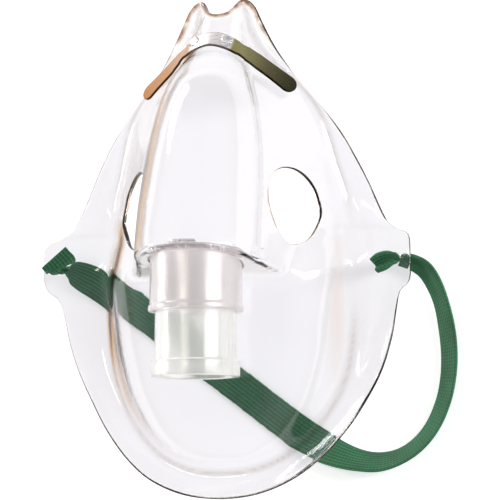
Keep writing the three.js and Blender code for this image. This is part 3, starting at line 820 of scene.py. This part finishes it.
def shell_marks():
    """Mark where the clear plastic gets painted shade at its cut edges and its folds, and painted reflection
    on its steep left wall.
    """
    edge = shell_points[2 * len(outer_face):]
    x, y, z = outer_face.T
    fold = depth_under(x, y, folds=True)(z) * through(FOLD_PAINTED_SHADE)(y)
    wall = painted_wall_reflection(x, y)
    # Painted shade near the rim at the bridge.
    by_rim = np.clip(1 - depth_inside(RIM, x, y) / 1.5, 0, 1) * through(BRIDGE_PAINTED_SHADE)(y)
    give(shell, "fold", np.concatenate([fold, fold, np.zeros(len(edge))]))
    give(shell, "wall", np.concatenate([wall, wall, np.zeros(len(edge))]))
    give(shell, "rim", np.concatenate([by_rim, by_rim, rim_painted_shade(edge[:, 0], edge[:, 1])]))


shell_marks()


# ---------------------------------------------------------------- head strap
STRAP_STEPS = 14  # stations to a span of the route
RIB_POINTS = 8  # points across each rib
RIB_FLOOR = 0.34  # half the thickness between ribs, and how much each rib adds
RIB_HEIGHT = 0.15
STRAP_LIFT = 0.08  # clear of the table, so that the ribs' tops don't reach through it


def strap_centres():
    """The strap's middle along its route, with the stretches that lie on the table set down on it."""
    band = []
    for x, y, z, lean, width, thick in BAND_ROUTE:
        angle = math.radians(lean)
        resting = width / 2 * math.sin(angle) + thick / 2 * math.cos(angle) + STRAP_LIFT
        band.append((x, y, resting if z is None else z))
    return [row[:3] for row in LEFT_TAIL] + band + [row[:3] for row in RIGHT_TAIL]


def strap_stations():
    """The strap's middle, its ways across and out of its face, its width and thickness, at each station."""
    rows = LEFT_TAIL + BAND_ROUTE + RIGHT_TAIL
    centres = strap_centres()
    _, along, _ = spline(centres, 1)
    sides = []
    for i, row in enumerate(rows):
        angle = math.radians(row[3])
        if len(LEFT_TAIL) <= i < len(LEFT_TAIL) + len(BAND_ROUTE):
            level = np.cross(along[i], (0, 0, 1))
            level /= np.linalg.norm(level)
            side = level * math.cos(angle) + np.cross(level, along[i]) * math.sin(angle)
        else:
            side = np.array([math.cos(angle), math.sin(angle), 0])
        sides.append(side)
    centre, along, u = spline(centres, STRAP_STEPS)
    side, _, _ = spline(sides, STRAP_STEPS)
    knots = range(len(rows))
    width = through(list(zip(knots, [row[4] for row in rows])))(u)
    thick = through(list(zip(knots, [row[5] for row in rows])))(u)
    side -= along * (side * along).sum(1)[:, None]
    side /= np.linalg.norm(side, axis=1)[:, None]
    return centre, side, np.cross(along, side), width, thick


def strap_piece():
    """A ribbed band, gathered into folds where it goes through the tabs."""
    centre, side, up, width, thick = strap_stations()
    travelled = np.concatenate([[0], np.cumsum(np.linalg.norm(np.diff(centre, axis=0), axis=1))])
    per_face = RIBS * RIB_POINTS + 1
    s = np.linspace(-1, 1, per_face)
    rib = 0.5 - 0.5 * np.cos(s * RIBS * math.pi)
    rounded = np.sqrt(np.clip(1 - np.abs(s) ** 14, 0, 1))
    half = (RIB_FLOOR + RIB_HEIGHT * rib) * rounded
    section_s = np.concatenate([s, s[::-1]])
    section_h = np.concatenate([half, -half[::-1]])
    ring = len(section_s)
    points = []
    for i in range(len(centre)):
        gathered = max(1 - width[i] / STRAP_WIDTH, 0)
        fold = (thick[i] - 1) / 2 * np.cos(section_s * math.pi * 1.5)
        across = section_s * width[i] / 2
        height = section_h * (1 + 0.1 * gathered) + fold
        points.append(centre[i] + across[:, None] * side[i] + height[:, None] * up[i])
    faces = tube_faces(ring, len(centre))
    last = (len(centre) - 1) * ring
    for k in range(per_face - 1):
        faces.append((k + 1, k, ring - 1 - k, ring - 2 - k))
        faces.append((last + k, last + k + 1, last + ring - 2 - k, last + ring - 1 - k))
    replaced = ["strap_band", "strap_left_tail", "strap_right_tail"]
    strap = make_piece("head_strap", np.vstack(points), faces, "green_elastic", "mask", replaced)
    give(strap, "along", np.repeat(travelled, ring))
    give(strap, "across", np.tile(section_s * STRAP_WIDTH / 2, len(centre)))


strap_piece()


# ---------------------------------------------------------------- collar and connector
def rounded_section(corners, radius, steps=4):
    """A closed section of (radius, y) corners, each rounded."""
    p = [np.array(c, float) for c in corners]
    out = []
    for i, here in enumerate(p):
        before, after = p[i - 1] - here, p[(i + 1) % len(p)] - here
        r = min(radius, 0.45 * np.linalg.norm(before), 0.45 * np.linalg.norm(after))
        start = here + before / np.linalg.norm(before) * r
        end = here + after / np.linalg.norm(after) * r
        for k in range(steps + 1):
            t = k / steps
            out.append((1 - t) ** 2 * start + 2 * t * (1 - t) * here + t**2 * end)
    return out


def turned(name, corners, radius, slot, body, replaced, sides=128):
    """A section turned about the port's axis."""
    section = rounded_section(corners, radius)
    n = len(section)
    points, faces = [], []
    for k in range(sides):
        angle = 2 * math.pi * k / sides
        for r, y in section:
            points.append((r * math.cos(angle), y, PORT_Z + r * math.sin(angle)))
        for i in range(n):
            a, b = k * n + i, k * n + (i + 1) % n
            c, d = (a + n) % (sides * n), (b + n) % (sides * n)
            faces.append((a, b, d, c))
    make_piece(name, points, faces, slot, body, replaced)


def collar_section():
    """The collar with its outer lip, the stop at its inner end, and a point on the way along its bore."""
    radius, bore, stop, inner, outer, lip = COLLAR.values()
    return [
        (bore, outer),
        (lip, outer),
        (lip, outer + 1.4),
        (radius, outer + 2),
        (radius, inner),
        (stop, inner),
        (stop, inner - 1.2),
        (bore, inner - 1.4),
        (bore, -14),
    ]


def connector_section():
    """The connector: its thick end ring, its tube, and the spigot that goes into the collar."""
    spigot, tube, bore, rim, inner, shoulder, rim_top, end = CONNECTOR.values()
    return [
        (bore, end),
        (rim, end),
        (rim, rim_top),
        (tube, rim_top),
        (tube, shoulder),
        (spigot, shoulder),
        (spigot, inner),
        (bore, inner),
    ]


turned("port_collar_clear", collar_section(), 0.5, "collar_pvc", "collar", ["port_collar"])
turned("tube_connector_milky", connector_section(), 0.35, "milky_plastic", "connector", ["tube_connector"])


# ---------------------------------------------------------------- nose clip and stakes
CLIP_STEPS = 180
CLIP_EDGE = 0.22  # how far the strip's edges are rounded
CLIP_EDGE_POINTS = 7
STAKE_SIDES = 40
# Distance from the stake's axis, and height over the middle of the strip.
STAKE_PROFILE = [(0.05, -0.65), (0.95, -0.65), (1, -0.6), (1, 0.6), (1.1, 0.66), (1.6, 0.66), (1.75, 0.74),
                 (1.75, 0.9), (1.62, 1.12), (1.35, 1.27), (0.9, 1.36), (0.45, 1.4), (0.05, 1.4)]
clip_height = through(CLIP_HEIGHT)


def clip_points(x):
    """The strip's middle line."""
    x = np.asarray(x, float)
    y = CLIP["crest_y"] - (np.hypot(CLIP["sweep"] * x, CLIP["bend"]) - CLIP["bend"])
    return np.column_stack([x, y, clip_height(np.abs(x))])


def clip_frames(x):
    """The clip's middle, its way along, across it, and out of the shell, at x."""
    x = np.asarray(x, float)
    centre = clip_points(x)
    along = clip_points(x + 0.5) - clip_points(x - 0.5)
    along /= np.linalg.norm(along, axis=1)[:, None]
    step = 3.0
    px, py = centre[:, 0], centre[:, 1]
    slope_x = (shell_height(px + step, py) - shell_height(px - step, py)) / (2 * step)
    slope_y = (shell_height(px, py + step) - shell_height(px, py - step)) / (2 * step)
    slope_y *= 1 - CLIP["twist"] * np.minimum(np.abs(x) / CLIP["twist_reach"], 1)
    normal = np.column_stack([-slope_x, -slope_y, np.ones(len(x))])
    side = np.cross(normal, along)
    side /= np.linalg.norm(side, axis=1)[:, None]
    return centre, along, side, np.cross(along, side)


def clip_piece():
    """A strip with round ends and rounded edges, which are marked for painted shade."""
    x = -CLIP["reach"] * np.cos(np.pi * np.arange(CLIP_STEPS + 1) / CLIP_STEPS)
    centre, _, side, up = clip_frames(x)
    half, thick = CLIP["width"] / 2, CLIP["thick"] / 2
    to_end = (CLIP["reach"] - np.abs(x)) * 1.35
    share = np.clip(to_end / half, 0, 1)
    width = half * np.maximum(np.sqrt(1 - (1 - share) ** 2), 0.08)
    corner = [(math.cos(a), math.sin(a)) for a in np.linspace(-math.pi / 2, math.pi / 2, CLIP_EDGE_POINTS)]
    points = []
    for i in range(len(x)):
        reach = width[i] - CLIP_EDGE
        edge = [(max(reach, 0.02) + CLIP_EDGE * c, thick * s) for c, s in corner]
        inside = max(reach - 0.25, 0.01)
        right = [(inside, -thick), *edge, (inside, thick)]
        section = right + [(-a, b) for a, b in reversed(right)]
        points += [centre[i] + a * side[i] + b * up[i] for a, b in section]
    marks = [0, *[1] * CLIP_EDGE_POINTS, 0] * 2
    n = len(marks)
    faces = tube_faces(n, len(x))
    faces.append(tuple(range(n))[::-1])
    faces.append(tuple(CLIP_STEPS * n + k for k in range(n)))
    clip = make_piece("nose_clip_strip", points, faces, "aluminium_strip", "mask", ["nose_clip"])
    give(clip, "reach", np.repeat(x / CLIP["reach"] / 2 + 0.5, n))
    give(clip, "edge", np.tile(marks, len(x)))


def stake_piece(side_name, x):
    """A stake with a domed head over the strip, standing out of the shell."""
    centre, _, _, up = (v[0] for v in clip_frames([x]))
    up = up / np.linalg.norm(up)
    first = np.cross(up, (0, 1, 0))
    first /= np.linalg.norm(first)
    second = np.cross(up, first)
    n = len(STAKE_PROFILE)
    points, faces = [], []
    for k in range(STAKE_SIDES):
        angle = 2 * math.pi * k / STAKE_SIDES
        out = math.cos(angle) * first + math.sin(angle) * second
        points += [centre + r * out + h * up for r, h in STAKE_PROFILE]
        for i in range(n - 1):
            a, c = k * n + i, ((k + 1) % STAKE_SIDES) * n + i
            faces.append((a, c, c + 1, a + 1))
    faces.append(tuple(k * n for k in range(STAKE_SIDES))[::-1])
    faces.append(tuple(k * n + n - 1 for k in range(STAKE_SIDES)))
    node_name = f"clip_stake_{side_name}"
    make_piece(f"{node_name}_clear", points, faces, "clear_pvc", "mask", [node_name])


clip_piece()
stake_piece("left", -CLIP["stake_x"])
stake_piece("right", CLIP["stake_x"])


# ---------------------------------------------------------------- floor, world and lights
def floor():
    """A white table, with a little light of its own so that it stays white under the clear shell."""
    reach = 12.0
    corners = [(-reach, -reach, 0), (reach, -reach, 0), (reach, reach, 0), (-reach, reach, 0)]
    mesh = bpy.data.meshes.new("floor")
    mesh.from_pydata(corners, [], [(0, 1, 2, 3)])
    material, _, shader, _ = new_material("floor_white")
    shader.inputs["Base Color"].default_value = (0.93, 0.93, 0.93, 1)
    shader.inputs["Roughness"].default_value = 1
    shader.inputs["Specular IOR Level"].default_value = 0
    shader.inputs["Emission Color"].default_value = (1, 1, 1, 1)
    shader.inputs["Emission Strength"].default_value = 0.47
    mesh.materials.append(material)
    piece = bpy.data.objects.new("floor", mesh)
    piece.location.z = -0.0001
    bpy.context.collection.objects.link(piece)


def surroundings():
    """A room that is brown low down and grey above for what it lights, and plain white where it is seen."""
    world = bpy.data.worlds.new("studio")
    world.use_nodes = True
    tree = world.node_tree
    where = node(tree, "ShaderNodeTexCoord")
    split = node(tree, "ShaderNodeSeparateXYZ", {0: where.outputs["Generated"]})
    colour = ramp(tree, split.outputs["Z"], [
        (0.0, (0.46, 0.36, 0.29)),
        (0.12, (0.55, 0.47, 0.42)),
        (0.28, (0.7, 0.69, 0.7)),
        (0.55, (0.68, 0.68, 0.7)),
        (0.85, (0.42, 0.42, 0.44)),
        (1, (0.25, 0.25, 0.26)),
    ])
    background = tree.nodes["Background"]
    tree.links.new(colour, background.inputs["Color"])
    background.inputs["Strength"].default_value = 0.92
    plain = node(tree, "ShaderNodeBackground", {"Color": (0.97, 0.97, 0.97, 1)}).outputs[0]
    seen = node(tree, "ShaderNodeLightPath").outputs["Is Camera Ray"]
    mixed = node(tree, "ShaderNodeMixShader", {0: seen, 1: background.outputs[0], 2: plain})
    tree.links.new(mixed.outputs[0], tree.nodes["World Output"].inputs["Surface"])
    bpy.context.scene.world = world


def softbox(name, place, size, power, colour=(1, 1, 1)):
    """A rectangular lamp that faces the middle of the mask."""
    lamp = bpy.data.lights.new(name, "AREA")
    lamp.shape = "RECTANGLE"
    lamp.size, lamp.size_y = size
    lamp.energy = power
    lamp.color = colour
    lit = bpy.data.objects.new(name, lamp)
    lit.location = place
    lit.rotation_euler = (Vector((0, 0, 0.03)) - Vector(place)).to_track_quat("-Z", "Y").to_euler()
    bpy.context.collection.objects.link(lit)


floor()
surroundings()
softbox("window_left", (-0.8, 0.12, 0.22), (0.16, 0.2), 1.2)
softbox("window_right", (0.56, 0.1, 0.36), (0.1, 0.45), 1.8)
softbox("window_top_left", (-0.5, 0.62, 0.14), (0.3, 0.14), 2.2)
softbox("strip_top", (-0.27, 0.15, 0.72), (0.05, 0.5), 0.9, (1, 0.93, 0.82))

scene = bpy.context.scene
scene.view_settings.view_transform = "Standard"
scene.view_settings.look = "None"
scene.cycles.transmission_bounces = 16
scene.cycles.transparent_max_bounces = 24
scene.cycles.max_bounces = 20
